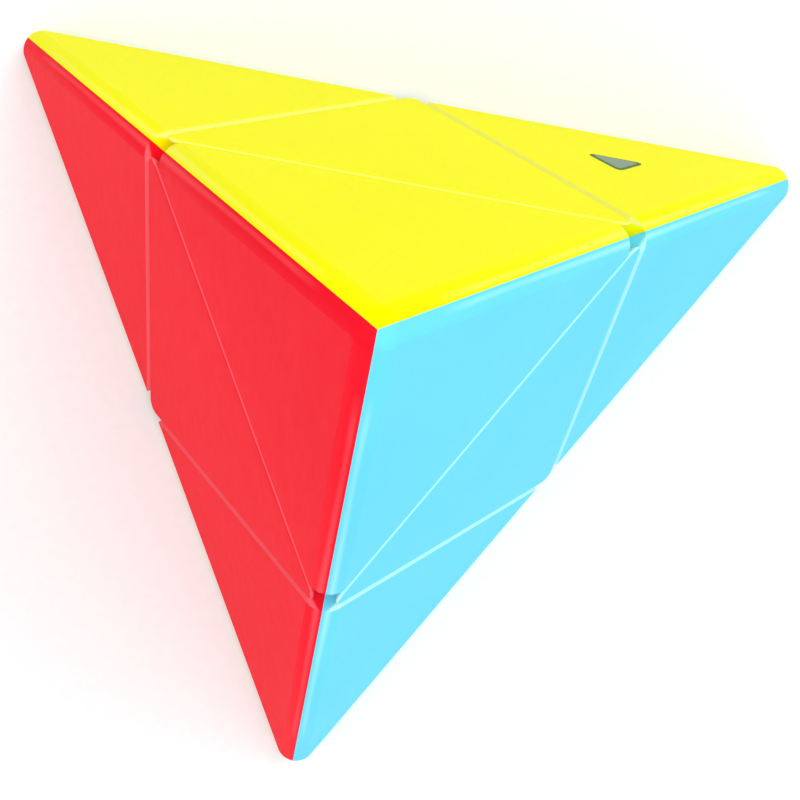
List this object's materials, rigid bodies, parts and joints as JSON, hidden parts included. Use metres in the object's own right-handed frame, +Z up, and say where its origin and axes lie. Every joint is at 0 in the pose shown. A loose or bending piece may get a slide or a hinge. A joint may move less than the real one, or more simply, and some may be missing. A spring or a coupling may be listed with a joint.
{
  "type": "pyramid twisty puzzle",
  "caption": "Four-coloured rounded tetrahedral twisty puzzle: corner pieces and triangular face centres turn in halves round a hidden ball mechanism.",
  "frame": {"origin": "middle of the green face, which the pyramid stands on", "axes": "+Z up through the top corner, -Y towards the front corner, +X towards the back right corner's side"},
  "size_m": [0.0904, 0.0792, 0.0746],
  "materials": {
    "yellow_shell": "semi-gloss moulded ABS",
    "red_shell": "semi-gloss moulded ABS",
    "blue_shell": "semi-gloss moulded ABS",
    "green_shell": "semi-gloss moulded ABS",
    "white_inner": "satin moulded ABS",
    "grey_inner": "satin moulded acetal",
    "steel": "zinc plated"
  },
  "bodies": {
    "back_half": {"back_left_yellow_shell": "yellow_shell", "back_left_green_shell": "green_shell", "back_left_red_shell": "red_shell", "back_left_insert": "white_inner", "back_right_green_shell": "green_shell", "back_right_yellow_shell": "yellow_shell", "back_right_blue_shell": "blue_shell", "back_right_insert": "white_inner", "yellow_center_shell": "yellow_shell", "yellow_center_insert": "white_inner", "green_center_shell": "green_shell", "green_center_insert": "white_inner", "core": "white_inner", "back_bottom_disc": "grey_inner", "inner_edge_1": "white_inner", "inner_edge_2": "white_inner", "inner_edge_3": "white_inner", "inner_edge_4": "white_inner", "inner_edge_5": "white_inner", "inner_edge_6": "white_inner", "inner_edge_7": "white_inner", "inner_edge_8": "white_inner", "screws": "steel", "springs": "steel", "washers": "steel"},
    "front_half": {"top_red_shell": "red_shell", "top_blue_shell": "blue_shell", "top_yellow_shell": "yellow_shell", "top_insert": "white_inner", "front_blue_shell": "blue_shell", "front_red_shell": "red_shell", "front_green_shell": "green_shell", "front_insert": "white_inner", "red_center_shell": "red_shell", "red_center_insert": "white_inner", "blue_center_shell": "blue_shell", "blue_center_insert": "white_inner", "front_top_disc": "grey_inner", "inner_edge_9": "white_inner", "inner_edge_10": "white_inner", "inner_edge_11": "white_inner", "inner_edge_12": "white_inner"},
    "left_bottom_disc": {"left_bottom_disc": "grey_inner"},
    "right_top_disc": {"right_top_disc": "grey_inner"},
    "left_top_disc": {"left_top_disc": "grey_inner"},
    "right_bottom_disc": {"right_bottom_disc": "grey_inner"}
  },
  "joints": [
    {"name": "half_turn", "type": "hinge", "parent": "back_half", "child": "front_half", "pos_m": [0, 0, 0.0198], "axis": [0, 0.8165, -0.5773], "continuous": true},
    {"name": "left_bottom_disc_spin", "type": "hinge", "parent": "back_half", "child": "left_bottom_disc", "pos_m": [0, 0, 0.0198], "axis": [-0.7071, -0.4082, -0.5774], "continuous": true},
    {"name": "right_top_disc_spin", "type": "hinge", "parent": "back_half", "child": "right_top_disc", "pos_m": [0, 0, 0.0198], "axis": [0.7071, 0.4082, 0.5774], "continuous": true},
    {"name": "left_top_disc_spin", "type": "hinge", "parent": "back_half", "child": "left_top_disc", "pos_m": [0, 0, 0.0198], "axis": [-0.7071, 0.4082, 0.5774], "continuous": true},
    {"name": "right_bottom_disc_spin", "type": "hinge", "parent": "back_half", "child": "right_bottom_disc", "pos_m": [0, 0, 0.0198], "axis": [0.7071, -0.4082, -0.5774], "continuous": true}
  ]
}
